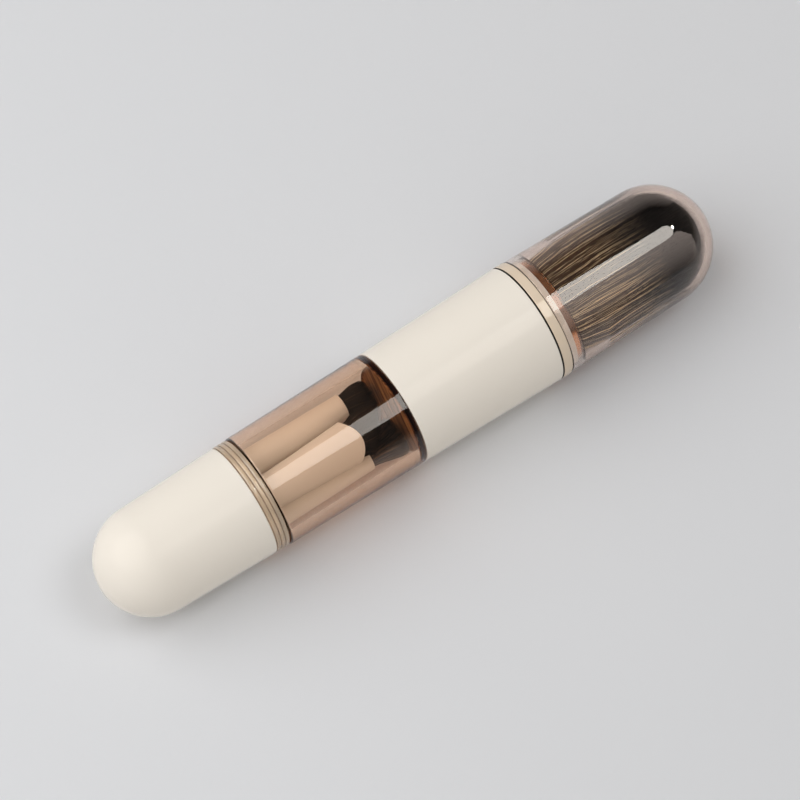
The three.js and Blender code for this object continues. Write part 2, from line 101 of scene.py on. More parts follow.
level = math.cos(CAMERA_ELEVATION)
away = Vector((
    -level * math.sin(CAMERA_HEADING),
    -level * math.cos(CAMERA_HEADING),
    math.sin(CAMERA_ELEVATION),
))
camera = bpy.data.objects.new("camera", bpy.data.cameras.new("camera"))
camera.data.lens = CAMERA_LENS
camera.location = CAMERA_TARGET + away * CAMERA_DISTANCE
camera.rotation_euler = (-away).to_track_quat("-Z", "Y").to_euler()
scene.collection.objects.link(camera)
scene.camera = camera
print("camera at", [round(v, 3) for v in camera.location])

# %% [markdown]
# ## Shader maths as expressions
#
# A material is a graph of small nodes. Written as `1 - mask * 0.3` the graph is as easy to read
# as a sum, so one class wraps an output socket and adds a Math node for each operator. `Tree.node`
# makes every other node: its settings go in first, then the values or links of its sockets.


# %% Sockets that know arithmetic
class Value:
    """An output socket. Arithmetic on it adds Math nodes to its tree."""

    def __init__(self, tree, socket):
        self.tree = tree
        self.socket = socket

    def math(self, operation, *values, **settings):
        sockets = dict(enumerate(values))
        return self.tree.node("ShaderNodeMath", sockets, operation=operation, **settings)

    def __add__(self, other):
        return self.math("ADD", self, other)

    def __radd__(self, other):
        return self.math("ADD", other, self)

    def __sub__(self, other):
        return self.math("SUBTRACT", self, other)

    def __rsub__(self, other):
        return self.math("SUBTRACT", other, self)

    def __mul__(self, other):
        return self.math("MULTIPLY", self, other)

    def __rmul__(self, other):
        return self.math("MULTIPLY", other, self)

    def clamped(self):
        return self.math("ADD", self, 0, use_clamp=True)

    def between(self, low, high):
        """0 below low, 1 above high and an even slope from one to the other."""
        return ((self - low) * (1 / (high - low))).clamped()


class Tree:
    """The node tree of a material or of the world."""

    def __init__(self, owner):
        owner.use_nodes = True
        self.tree = owner.node_tree
        self.tree.nodes.clear()

    def feed(self, socket, value):
        if isinstance(value, Value):
            self.tree.links.new(value.socket, socket)
        elif isinstance(value, (tuple, list)) and socket.type == "RGBA":
            socket.default_value = (*value[:3], 1)
        else:
            socket.default_value = value

    def node(self, kind, sockets=None, out=0, **settings):
        made = self.tree.nodes.new(kind)
        for name, setting in settings.items():
            setattr(made, name, setting)
        for name, value in (sockets or {}).items():
            self.feed(made.inputs[name], value)
        return Value(self, made.outputs[out])

    def mix(self, factor, first, second):
        """A colour between two colours."""
        sockets = {0: factor, 6: first, 7: second}
        return self.node("ShaderNodeMix", sockets, out=2, data_type="RGBA")

    def place(self, scale=(1, 1, 1), turn=(0, 0, 0)):
        """The point being shaded, in metres on the object, stretched for a pattern."""
        coordinates = self.node("ShaderNodeTexCoord", out="Object")
        sockets = {"Vector": coordinates, "Scale": scale, "Rotation": turn}
        return self.node("ShaderNodeMapping", sockets)

    def noise(self, scale, detail=2.0, roughness=0.5, place=None):
        """Cloudy noise from 0 to 1. A place of unequal scales draws it out into a grain."""
        sockets = {"Scale": scale, "Detail": detail, "Roughness": roughness}
        return self.node("ShaderNodeTexNoise", {"Vector": place or self.place(), **sockets})

    def bump(self, height, distance, strength):
        sockets = {"Height": height, "Distance": distance, "Strength": strength}
        return self.node("ShaderNodeBump", sockets)

    def rays(self, *kinds):
        """1 for rays of any of these kinds, such as "Is Shadow Ray", and otherwise 0."""
        total = 0
        for kind in kinds:
            total = self.node("ShaderNodeLightPath", out=kind) + total
        return total.clamped()

    def output(self, surface, volume=None, kind="ShaderNodeOutputMaterial"):
        made = self.tree.nodes.new(kind)
        self.feed(made.inputs["Surface"], surface)
        if volume is not None:
            self.feed(made.inputs["Volume"], volume)


# %% [markdown]
# ## A daylight-like studio
#
# The world fills the shadows evenly, a little warm. Mirrors and glass see it as a dark ceiling
# over a pale horizon, which gives them their dark and light sides. The camera sees it plain and
# pale.

# %% World
FILL_LIGHT = 0.34
FILL_COLOUR = (1.03, 1.0, 0.955)
PALE = (0.655, 0.662, 0.675)
CEILING = (0.08, 0.08, 0.08)
HORIZON = (-0.02, 0.10)

world = bpy.data.worlds.new("studio")
scene.world = world
sky = Tree(world)
direction = sky.node("ShaderNodeTexCoord", out="Generated")
height = sky.node("ShaderNodeSeparateXYZ", {0: direction}, out="Z")
seen_in_gloss = sky.mix(height.between(*HORIZON), PALE, CEILING)
fill = tuple(FILL_LIGHT * c for c in FILL_COLOUR)
by_gloss = sky.rays("Is Glossy Ray", "Is Transmission Ray")
seen = sky.mix(sky.rays("Is Camera Ray"), sky.mix(by_gloss, fill, seen_in_gloss), PALE)
background = sky.node("ShaderNodeBackground", {"Color": seen, "Strength": 1.0})
sky.output(background, kind="ShaderNodeOutputWorld")
print("world set")

# %% [markdown]
# ## Lamps, and the cards that mirrors see
#
# What a lamp gives and what a glossy surface mirrors are set apart, so that both can match. A disc
# lamp gives the light, and a glowing card that only mirrors and glass see gives the reflection.
# The large lamp, high on the left, has a plain card of eight sides. The one nearly overhead has a
# card with the outline of the bright stripe along the tube and the cap, and it is dimmer over the
# tube. A tiny bright card makes the glint near the cap's tip, and two dim, warm cards beside the
# cap make the haze on its flanks. Things inside the clear plastics mirror all but the first card
# little or not at all, so that the hair stays dark.

# %% Lamps and cards
LAMP_COLOUR = (0.985, 1.0, 1.025)
CARD_COLOUR = (1.0, 0.94, 0.87)
HAZE_COLOUR = (1.0, 0.85, 0.77)
OCTAGON = [(math.cos(a), math.sin(a)) for a in (np.arange(8) + 0.5) * math.pi / 4]


def flat_face(name, points, material):
    """An object that is one flat face of a material."""
    mesh = bpy.data.meshes.new(name)
    mesh.from_pydata(points, [], [tuple(range(len(points)))])
    mesh.materials.append(material)
    face = bpy.data.objects.new(name, mesh)
    scene.collection.objects.link(face)
    return face


def disc_lamp(name, towards, distance, half_width, radiance):
    """A lamp that faces the object's middle and that mirrors and glass don't see. A disc of
    radiance L and radius r gives pi L times its area, which is pi r^2."""
    towards = Vector(towards).normalized()
    light = bpy.data.lights.new(name, "AREA")
    light.color = LAMP_COLOUR
    light.shape = "DISK"
    light.size = 2 * half_width
    light.energy = radiance * math.pi * math.pi * half_width**2
    lamp = bpy.data.objects.new(name, light)
    lamp.location = CAMERA_TARGET + towards * distance
    lamp.rotation_euler = towards.to_track_quat("Z", "Y").to_euler()
    lamp.visible_glossy = False
    lamp.visible_transmission = False
    scene.collection.objects.link(lamp)


def mirror_card(
    name, towards, distance, half_width, shine,
    corners=OCTAGON, inside=1.0, fade=None, colour=CARD_COLOUR,
):
    """A glowing card that faces the object's middle and that only mirrors and glass see. Its
    corners are in half widths, along the object's axis and across it. Things inside the clear
    plastics mirror only the share inside of its shine. fade is a direction ("along" or
    "across"), two places on the card in metres, and the share of the shine that is left at the
    first. At the second the shine is full."""
    towards = Vector(towards).normalized()
    place = CAMERA_TARGET + towards * distance
    along = (Vector((1, 0, 0)) - towards * towards.x).normalized()
    across = towards.cross(along)
    glow = bpy.data.materials.new(name + "_glow")
    tree = Tree(glow)
    deep = tree.node("ShaderNodeLightPath", out="Transmission Depth").between(1, 2)
    level = 1 - deep * (1 - inside)
    if fade:
        name_of_way, low, high, least = fade
        way = along if name_of_way == "along" else across
        sockets = {0: tree.place(), 1: way}
        at = tree.node("ShaderNodeVectorMath", sockets, out="Value", operation="DOT_PRODUCT")
        full = (at - place.dot(way)).between(low, high)
        level = level * (full * (1 - least) + least)
    tree.output(tree.node("ShaderNodeEmission", {"Color": colour, "Strength": level * shine}))
    points = [place + (along * a + across * b) * half_width for a, b in corners]
    card = flat_face(name + "_card", points, glow)
    card.visible_camera = False
    card.visible_diffuse = False
    card.visible_shadow = False
    print(f"{name}: a card of {len(corners)} corners")


KEY = {"towards": (-0.59, 0.30, 0.75), "distance": 0.7, "half_width": 0.5}
TOP = {"towards": (0.34, -0.27, 0.90), "distance": 2.4, "half_width": 0.6}

disc_lamp("key_softbox", **KEY, radiance=1.445)
mirror_card("key_softbox", **KEY, shine=4.3)
disc_lamp("top_softbox", **TOP, radiance=3.33)
mirror_card(
    "top_softbox", **TOP, shine=9.3, inside=0.05, fade=("along", -0.44, 0.03, 0.42),
    corners=[
        (0.02, 1.26), (0.16, 1.07), (0.40, 1.03), (1.28, 0.31),
        (0.44, -0.66), (0.00, -0.70), (-0.52, -1.30), (-1.77, -0.23),
    ],
)
mirror_card(
    "top_glint", towards=(0.60, -0.15, 0.79), distance=2.3, half_width=0.13,
    shine=60.0, inside=0.0,
)
mirror_card(
    "front_card", towards=(0.58, -0.563, 0.586), distance=0.174, half_width=0.1,
    shine=3.4, inside=0.0, fade=("across", -0.113, 0.045, 0.12), colour=HAZE_COLOUR,
    corners=[(-0.23, -1.13), (1.10, -1.13), (1.10, -0.10), (0.60, 0.45), (-0.23, 0.45)],
)
mirror_card(
    "back_card", towards=(0.54, 0.75, 0.34), distance=0.174, half_width=0.1,
    shine=1.35, inside=0.0, fade=("across", -0.061, 0.0, 0.0), colour=HAZE_COLOUR,
    corners=[(-0.16, -0.61), (0.95, -0.61), (1.35, 0.20), (1.35, 0.90), (-0.16, 0.90)],
)

# %% [markdown]
# ## Floor
#
# A plain pale sheet, faintly cool, with a very slight cloudiness, so that the shadow and what the
# clear plastics refract read well on it.

# %% Floor
FLOOR_HALF = 3.0

floor_material = bpy.data.materials.new("floor")
tree = Tree(floor_material)
pale_grey = tree.mix(tree.noise(14.0, detail=3.0), (0.715, 0.722, 0.737), (0.730, 0.736, 0.750))
floor_looks = {"Base Color": pale_grey, "Roughness": 0.75, "Specular IOR Level": 0.2}
tree.output(tree.node("ShaderNodeBsdfPrincipled", floor_looks))
floor_corners = [(-1, -1, 0), (1, -1, 0), (1, 1, 0), (-1, 1, 0)]
floor = flat_face("floor", [Vector(c) * FLOOR_HALF for c in floor_corners], floor_material)
print("floor down")

# %% [markdown]
# ## From an outline to a turned surface
#
# Almost every piece here comes off a lathe or out of a round mould. An outline is a list of
# corners along the axis, each with a small radius, because no moulded edge is sharp and a rounded
# edge is what catches the light. `rounded` puts the arcs in, and `turned` carries the outline
# round the axis on a grid.

# %% Outlines
EDGE_STEPS = 4
GUARD = 1.3
ON_AXIS = 1e-6


def rounded(corners):
    """An outline with its corners rounded. Each corner is (x, r, edge radius); with an edge
    radius of nought it stays sharp. The arc touches both sides at edge / tan(half angle) from the
    corner, and a point just outside each end keeps the flat sides' shading flat."""
    outline = []
    for place, (x, r, edge) in enumerate(corners):
        here = np.array((x, r))
        if edge == 0:
            outline.append(here)
            continue
        before = np.array(corners[place - 1][:2]) - here
        after = np.array(corners[(place + 1) % len(corners)][:2]) - here
        before /= np.linalg.norm(before)
        after /= np.linalg.norm(after)
        half = math.acos(np.clip(before @ after, -1, 1)) / 2
        reach = edge / math.tan(half)
        centre = here + (before + after) / np.linalg.norm(before + after) * edge / math.sin(half)
        start = here + before * reach - centre
        end = here + after * reach - centre
        sweep = math.pi - 2 * half
        outline.append(here + before * reach * GUARD)
        for share in np.linspace(0, 1, EDGE_STEPS + 1):
            first = math.sin((1 - share) * sweep) / math.sin(sweep)
            second = math.sin(share * sweep) / math.sin(sweep)
            outline.append(centre + start * first + end * second)
        outline.append(here + after * reach * GUARD)
    return np.array(outline)


def arc(x, r, size, start, stop, steps):
    """Points on a circle about (x, r), from one angle to another in quarter turns from +X."""
    angle = np.linspace(start, stop, steps + 1) * math.pi / 2
    return np.column_stack((x + size * np.cos(angle), r + size * np.sin(angle)))


def corners_of(points):
    """Sharp outline corners through an array of (x, r) points."""
    return [(x, r if r > ON_AXIS else 0.0, 0) for x, r in points]


def facing_out(outline):
    """The outline in the order that makes its turned faces point outwards: the area that it
    goes round is negative."""
    x, r = outline[:, 0], outline[:, 1]
    area = np.sum(x * np.roll(r, -1) - np.roll(x, -1) * r) / 2
    return outline if area < 0 else outline[::-1]


# %% Turning an outline
SIDES = 144


def around(outline, sides, y=0, z=AXIS_Z):
    """Points of an outline of (x, r) carried round an axis at (y, z), one ring after another:
    y + r cos(angle) and z + r sin(angle)."""
    x, r = np.asarray(outline, float).T
    angle = np.arange(sides) * 2 * math.pi / sides
    across = y + np.outer(r, np.cos(angle))
    up = z + np.outer(r, np.sin(angle))
    return np.column_stack((np.repeat(x, sides), across.ravel(), up.ravel()))


def strips(rings, sides, closed=False):
    """Quads between neighbouring rings, and between the last and the first if closed."""
    row = np.arange(rings if closed else rings - 1)[:, None]
    side = np.arange(sides)
    beside = (side + 1) % sides
    here, there = row * sides, (row + 1) % rings * sides
    quads = np.stack((here + side, here + beside, there + beside, there + side), axis=-1)
    return quads.reshape(-1, 4)


def turned(outline, sides=SIDES):
    """Vertices, corners and face sizes of an outline turned about the capsule's axis. An
    outline that starts on the axis ends on it too, and its first and last points become poles.
    Any other is a closed loop."""
    outline = facing_out(np.asarray(outline, float))
    poles = outline[0][1] < ON_AXIS
    rows = outline[1:-1] if poles else outline
    vertices = around(rows, sides)
    quads = strips(len(rows), sides, closed=not poles)
    loops, totals = quads.ravel(), np.full(len(quads), 4)
    if poles:
        first, last = len(vertices), len(vertices) + 1
        tips = [[outline[0][0], 0, AXIS_Z], [outline[-1][0], 0, AXIS_Z]]
        vertices = np.vstack((vertices, tips))
        side = np.arange(sides)
        beside = (side + 1) % sides
        end = (len(rows) - 1) * sides
        fan_in = np.column_stack((np.full(sides, first), beside, side))
        fan_out = np.column_stack((np.full(sides, last), end + side, end + beside))
        loops = np.concatenate((loops, fan_in.ravel(), fan_out.ravel()))
        totals = np.concatenate((totals, np.full(2 * sides, 3)))
    return vertices * MM, loops, totals


# %% [markdown]
# ## Putting a piece in its place
#
# Every finished piece says two things to the frame: the body that it rides on, and the CAD node
# that it stands in for, which is hidden. A piece may also wear more than one finish, chosen by
# where each of its faces lies.

# %% Pieces
SHARP_ANGLE = math.radians(32)


def in_place(mesh, body, materials, replaces=None):
    """Make a mesh a piece of the object, smooth but for its sharp edges."""
    mesh.polygons.foreach_set("use_smooth", np.ones(len(mesh.polygons), bool))
    mesh.set_sharp_from_angle(angle=SHARP_ANGLE)
    for material in materials:
        mesh.materials.append(material)
    piece = bpy.data.objects.new(mesh.name, mesh)
    scene.collection.objects.link(piece)
    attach(piece, body)
    if replaces:
        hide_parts(replaces)
    print(f"{mesh.name}: {len(mesh.loops) - 2 * len(mesh.polygons)} triangles")
    return piece


def piece_of(name, arrays, body, materials, replaces=None):
    """Make a piece from its vertex, corner and face-size arrays."""
    vertices, loops, totals = arrays
    mesh = bpy.data.meshes.new(name)
    mesh.vertices.add(len(vertices))
    mesh.vertices.foreach_set("co", np.asarray(vertices, np.float32).ravel())
    mesh.loops.add(len(loops))
    mesh.loops.foreach_set("vertex_index", np.asarray(loops, np.int32))
    mesh.polygons.add(len(totals))
    starts = np.concatenate(([0], np.cumsum(totals)[:-1]))
    mesh.polygons.foreach_set("loop_start", starts.astype(np.int32))
    mesh.polygons.foreach_set("loop_total", np.asarray(totals, np.int32))
    mesh.update(calc_edges=True)
    return in_place(mesh, body, materials, replaces)


def lathe_piece(name, corners, body, materials, replaces):
    """Round an outline's corners, turn it and make it a piece."""
    return piece_of(name, turned(rounded(corners)), body, materials, replaces)


# %% Several finishes on one piece
NEAR = 0.05
CLOSE = 0.02


def other_finish(piece, material, chosen):
    """Give the piece's faces for which chosen(x, r) is true another of its materials. Both are
    arrays in millimetres, for the faces' middles: the place along the axis and the distance
    from it."""
    polygons = piece.data.polygons
    centres = np.empty(len(polygons) * 3, np.float32)
    material_of = np.empty(len(polygons), np.int32)
    polygons.foreach_get("center", centres)
    polygons.foreach_get("material_index", material_of)
    x, y, z = centres.reshape(-1, 3).T / MM
    mask = chosen(x, np.hypot(y, z - AXIS_Z))
    material_of[mask] = list(piece.data.materials).index(material)
    polygons.foreach_set("material_index", material_of)
    print(f"{piece.name}: {material.name} on {int(mask.sum())} of {len(mask)} faces")


# %% [markdown]
# ## Cream gloss
#
# The dome and the sleeve are moulded in a warm cream plastic with a polished mould finish. It is
# almost even: the eye only knows it for plastic by the soft stripe of the lamp, a trace of
# mottling in the colour, and a surface that waves by about a hundredth of a millimetre.


# %% A material and its surface shader
def finish(name, sockets, absorbs=None, let_light_through=None):
    """A material with one Principled shader. let_light_through is a colour: lamps' rays and
    the soft light between surfaces then pass straight through the piece with that tint."""
    material = bpy.data.materials.new(name)
    tree = Tree(material)
    if callable(sockets):
        sockets = sockets(tree)
    surface = tree.node("ShaderNodeBsdfPrincipled", sockets)
    inside = None
    if let_light_through:
        straight = tree.rays("Is Shadow Ray", "Is Diffuse Ray")
        clear = tree.node("ShaderNodeBsdfTransparent", {"Color": let_light_through})
        surface = tree.node("ShaderNodeMixShader", {0: straight, 1: surface, 2: clear})
    if absorbs:
        colour, density = absorbs
        inside = tree.node("ShaderNodeVolumeAbsorption", {"Color": colour, "Density": density})
    tree.output(surface, inside)
    print("finish:", name)
    return material


def looks(colour, roughness, specular, **others):
    """The sockets that nearly every finish sets, and any others by their names."""
    sockets = {"Base Color": colour, "Roughness": roughness, "Specular IOR Level": specular}
    return {**sockets, **others}


def cream_surface(tree):
    mottle = tree.noise(90.0, detail=3.0)
    colour = tree.mix(mottle, (0.915, 0.845, 0.748), (0.935, 0.868, 0.768))
    waves = tree.bump(tree.noise(420.0), distance=0.00001, strength=0.3)
    return looks(colour, 0.06 + mottle * 0.06, 0.07, Normal=waves)


cream = finish("cream_gloss", cream_surface)

# %% [markdown]
# ## Clear tinted plastics
#
# Four pieces are clear: the smoky champagne storage tube, two paler collars and the faintly rosy
# cap. Each is a closed body with a real wall, so the light bends where it should and the rims
# turn dark by themselves. The tint is an absorption inside the wall. Thick places then go deeper
# in colour than thin ones, as in real tinted plastic. A share of the collars' surface scatters
# light like milk: a third on the ridged collar, and most of it on the neck collar's ring.


# %% Clear plastic
CLEAR_IOR = 1.54
CLEAR_GLOSS = 0.5
MILKY_GLOSS = 0.22
MILKY_FROM = 0.5
SURFACE_LOSS = 0.97
DENSITY_ROOM = 1.1


def clear_plastic(name, left_after_a_millimetre, milkiness=0.0, milk=(1, 1, 1)):
    """Clear plastic whose wall lets this share of red, green and blue through per millimetre.
    Absorption is (1 - colour) * density per metre, so the colour follows from the shares.
    Milkiness is the share of the surface that scatters light instead of letting it through."""
    per_metre = -np.log(np.array(left_after_a_millimetre)) / MM
    density = float(per_metre.max()) * DENSITY_ROOM
    colour = tuple(float(c) for c in 1 - per_metre / density)

    def surface(tree):
        smears = 0.02 * tree.noise(160.0, detail=3.0)
        gloss = CLEAR_GLOSS if milkiness < MILKY_FROM else MILKY_GLOSS
        clear = {"IOR": CLEAR_IOR, "Transmission Weight": 1.0 - milkiness}
        return looks(milk, smears, gloss, **clear)

    tint = tuple(SURFACE_LOSS * (1 - milkiness * (1 - c)) for c in milk)
    return finish(name, surface, absorbs=(colour, density), let_light_through=tint)


CHAMPAGNE = (0.975, 0.945, 0.900)
MILK = (0.95, 0.81, 0.64)

tinted_clear = clear_plastic("tinted_clear", (0.970, 0.914, 0.866))
champagne_clear = clear_plastic("champagne_clear", CHAMPAGNE, milkiness=0.32, milk=MILK)
champagne_milky = clear_plastic("champagne_milky", CHAMPAGNE, milkiness=0.75, milk=MILK)
champagne_pale = clear_plastic("champagne_pale", CHAMPAGNE, milkiness=0.8, milk=(0.97, 0.93, 0.86))
champagne_bare = clear_plastic("champagne_bare", CHAMPAGNE)
smoky_clear = clear_plastic("smoky_clear", (0.955, 0.905, 0.875))

# %% [markdown]
# ## Metals
#
# The powder brush's band is polished rose copper, with fine rings from its turning. It is a little
# less than fully metallic, which keeps its dark side warm. The small ferrules are champagne with a
# satin grain that runs lengthwise. Their coat mirrors very little, so they are hardly metallic.


# %% Metal finishes
def copper_surface(tree):
    rings = tree.noise(1.0, place=tree.place(scale=(900, 20, 20)))
    colour = tree.mix(rings, (0.92, 0.40, 0.17), (0.96, 0.46, 0.21))
    lines = tree.bump(rings, distance=0.00001, strength=0.3)
    return looks(colour, 0.06 + rings * 0.08, 0.5, Metallic=0.86, Normal=lines)


def satin_surface(tree):
    grain = tree.noise(1.0, detail=3.0, place=tree.place(scale=(30, 1400, 1400)))
    colour = tree.mix(grain, (0.97, 0.94, 0.87), (0.99, 0.97, 0.92))
    patches = tree.noise(130.0)
    lines = tree.bump(grain, distance=0.00002, strength=0.4)
    return looks(colour, 0.36 + patches * 0.12, 0.38, Metallic=0.03, Normal=lines)


copper = finish("copper_metal", copper_surface)
satin = finish("champagne_metal", satin_surface)

# %% [markdown]
# ## Inner plastics, shades and set glue
#
# The holder and the handles are a warm moulded plastic. The core in the sleeve is dark amber, and
# the storage tube's floor is brown with slanting streaks. The seams and the grooves between the
# ridges hold little light, so their narrow faces get dark finishes of painted shade.


# %% Inner plastics and shades
def inner_surface(tree):
    mottle = tree.noise(200.0, detail=3.0)
    colour = tree.mix(mottle, (0.84, 0.75, 0.64), (0.88, 0.80, 0.70))
    return looks(colour, 0.32 + mottle * 0.12, 0.4)


def amber_surface(tree):
    rings = tree.noise(1.0, detail=3.0, place=tree.place(scale=(700, 60, 60)))
    colour = tree.mix(rings, (0.24, 0.10, 0.035), (0.40, 0.19, 0.075))
    return looks(colour, 0.25 + rings * 0.15, 0.4)


def backing_surface(tree):
    aslant = tree.place(turn=(math.radians(-45), 0, 0))
    aslant = tree.node("ShaderNodeMapping", {"Vector": aslant, "Scale": (50, 50, 1500)})
    streaks = tree.noise(1.0, detail=4.0, roughness=0.65, place=aslant).between(0.40, 0.68)
    return looks(tree.mix(streaks, (0.10, 0.045, 0.022), (0.62, 0.33, 0.14)), 0.5, 0.05)


inner_plastic = finish("inner_plastic", inner_surface)
amber = finish("dark_amber", amber_surface)
amber_back = finish("amber_back", backing_surface)
resin = finish("resin", amber_surface)
# Painted shade: near black for the seams' gaps, brown for the bottoms of the grooves.
seam_shade = finish("seam_shade", looks((0.016, 0.010, 0.007), 0.6, 0.2))
groove_shade = finish("groove_shade", looks((0.17, 0.10, 0.06), 0.35, 0.4))

# %% [markdown]
# ## Hair
#
# Every hair has its own shade and turns black towards its tip. A UV map is the way to tell the
# shader: across it holds a chance number that is the same all over one hair, and along it the
# share of the hair's length. One material then colours thousands of hairs differently.

# %% Hair finishes
STRAND_UV = "strand"
PALE_DELAY = 0.14


def hair_material(name, pale, dark, tip, pale_chances, black_shares):
    """Hair that turns from dark to pale between two chance numbers, and black between two
    shares of its length. Pale strands stay pale for a little longer."""

    def surface(tree):
        strand = tree.node("ShaderNodeUVMap", uv_map=STRAND_UV)
        chance = tree.node("ShaderNodeSeparateXYZ", {0: strand}, out="X")
        along = tree.node("ShaderNodeSeparateXYZ", {0: strand}, out="Y")
        pale_share = chance.between(*pale_chances)
        body = tree.mix(pale_share, dark, pale)
        blackness = (along - pale_share * PALE_DELAY).between(*black_shares)
        return looks(tree.mix(blackness, body, tip), 0.42, 0.35)

    return finish(name, surface)


powder_hair = hair_material(
    "powder_hair", pale=(1.0, 0.84, 0.55), dark=(0.095, 0.056, 0.027), tip=(0.010, 0.008, 0.007),
    pale_chances=(0.84, 0.88), black_shares=(0.46, 0.72),
)
black_hair = hair_material(
    "black_hair", pale=(0.09, 0.055, 0.032), dark=(0.017, 0.012, 0.009), tip=(0.007, 0.005, 0.004),
    pale_chances=(0.88, 0.97), black_shares=(0.6, 1.2),
)
brown_hair = hair_material(
    "brown_hair", pale=(0.30, 0.17, 0.09), dark=(0.022, 0.015, 0.011), tip=(0.008, 0.006, 0.005),
    pale_chances=(0.80, 0.95), black_shares=(0.45, 0.9),
)

# %% [markdown]
# ## The cream dome and the sleeve
#
# Two thin moulded shells. The dome's round end is a true hemisphere that runs into a wall with a
# slight draft. The sleeve is a plain cone over the inner core, a little wider at the powder end.
# Its bore is amber like the core, because a glimpse of both shows past the clear pieces.

# %% End dome
DOME_WALL = 0.8
DOME_RISE = 0.5
ARC_STEPS = 28

dome_tip_r = dome_r - DOME_RISE
dome_centre_x = dome_tip_x + dome_tip_r
lathe_piece("end_dome_shell", [
    *corners_of(arc(dome_centre_x, 0, dome_tip_r - DOME_WALL, 2, 1, ARC_STEPS)),
    (dome_mouth_x, dome_r - DOME_WALL, 0.15),
    (dome_mouth_x, dome_r, 0.18),
    *corners_of(arc(dome_centre_x, 0, dome_tip_r, 1, 2, ARC_STEPS)),
], "dome", [cream], "end_dome")

# %% Body sleeve and its core
SLEEVE_WALL = 1.2
CORE_WALL = 1.1
CORE_WEB = 1.6

sleeve_bore_r = tube_r - SLEEVE_WALL
sleeve = lathe_piece("body_sleeve_shell", [
    (sleeve_start_x, sleeve_bore_r, 0.1),
    (sleeve_start_x, tube_r, 0.15),
    (sleeve_end_x, sleeve_r, 0.2),
    (sleeve_end_x, sleeve_bore_r, 0.1),
], "barrel", [cream, amber], "body_sleeve")
other_finish(sleeve, amber, lambda x, r: r < sleeve_bore_r + NEAR)

web_x = (core_start_x + core_end_x) / 2
core_bore_r = core_r - CORE_WALL
lathe_piece("body_core_cup", [
    (web_x - CORE_WEB / 2, 0, 0),
    (web_x - CORE_WEB / 2, core_bore_r, 0.6),
    (core_start_x, core_bore_r, 0.25),
    (core_start_x, core_r, 0.25),
    (core_end_x, core_r, 0.25),
    (core_end_x, core_bore_r, 0.25),
    (web_x + CORE_WEB / 2, core_bore_r, 0.6),
    (web_x + CORE_WEB / 2, 0, 0),
], "barrel", [amber], "body_core")

# %% [markdown]
# ## The storage tube
#
# A thick clear cup, open towards the dome. Its neck plugs into the ridged collar, its closed end
# has a round inner fillet, and behind the floor a hollow spigot goes into the sleeve. The floor
# and everything behind it are brown, and a narrow band of painted shade darkens the gap beside
# the collar.

# %% Storage tube
SEAM_GAP = 0.15
TUBE_RISE = 0.35
TUBE_NECK_LENGTH = 7.0
TUBE_NECK_WALL = 0.55
TUBE_FLOOR = 2.4
TUBE_FLOOR_INSET = 0.65
TUBE_FILLET = 0.5
TUBE_SPIGOT_WALL = 1.1
SLIP_GAP = 0.15
GLUE_GAP = 0.12
COLLAR_SPIGOT_WALL = 0.5
SHADE_UNDER = 0.3
FILLET_STEPS = 14


def dome_inner_r(x):
    """Radius inside the dome's wall, which widens evenly from the round end to the mouth."""
    share = (x - dome_centre_x) / (dome_mouth_x - dome_centre_x)
    return dome_tip_r + DOME_RISE * share - DOME_WALL


collar_spigot_r = dome_inner_r(collar_spigot_x) - GLUE_GAP
collar_bore_r = collar_spigot_r - COLLAR_SPIGOT_WALL
tube_neck_r = collar_bore_r - SLIP_GAP
tube_bore_r = tube_neck_r - TUBE_NECK_WALL
tube_shoulder_x = tube_neck_x + TUBE_NECK_LENGTH
tube_end_x = sleeve_start_x - SEAM_GAP
tube_floor_x = sleeve_start_x - SEAM_GAP / 2 - TUBE_FLOOR_INSET
tube_back_x = tube_floor_x + TUBE_FLOOR
fillet_x, fillet_r = tube_floor_x - TUBE_FILLET, tube_bore_r - TUBE_FILLET
tube = lathe_piece("storage_tube_cup", [
    (tube_floor_x, 0, 0),
    *corners_of(arc(fillet_x, fillet_r, TUBE_FILLET, 0, 1, FILLET_STEPS)),
    (tube_neck_x, tube_bore_r, 0.2),
    (tube_neck_x, tube_neck_r, 0.2),
    (collar_end_x - SHADE_UNDER, tube_neck_r, 0),
    (tube_shoulder_x, tube_neck_r, 0.12),
    (tube_shoulder_x, tube_r - TUBE_RISE, 0.3),
    (tube_end_x, tube_r, 0.15),
    (tube_end_x, core_r, 0.1),
    (tube_spigot_x, core_r, 0.3),
    (tube_spigot_x, core_r - TUBE_SPIGOT_WALL, 0.3),
    (tube_back_x, core_r - TUBE_SPIGOT_WALL, 1.2),
    (tube_back_x, 0, 0),
], "barrel", [tinted_clear, amber_back, seam_shade], "storage_tube")
other_finish(tube, amber_back, lambda x, r: (
    (x > fillet_x - CLOSE) & (x < tube_floor_x + CLOSE) & (r < tube_bore_r + CLOSE)
))
# Painted shade: a dark band round the neck, in the gap beside the collar.
other_finish(tube, seam_shade, lambda x, r: (
    (x > collar_end_x - SHADE_UNDER) & (x < tube_shoulder_x - NEAR) & (r > tube_bore_r + NEAR)
))
other_finish(tube, amber_back, lambda x, r: x > tube_end_x - CLOSE)

# %% [markdown]
# ## The ridged collar
#
# A clear champagne ring glued into the dome's mouth. Three round ridges give the fingers a grip
# to pull the dome off, and each one works as a little lens that draws a light and a dark line.
# The bottoms of the grooves are painted a brown shade.

# %% Ridged collar
RIDGES = 3
RIDGE_DEPTH = 0.3
RIDGE_STEPS = 14
RIDGE_SWING = 0.98

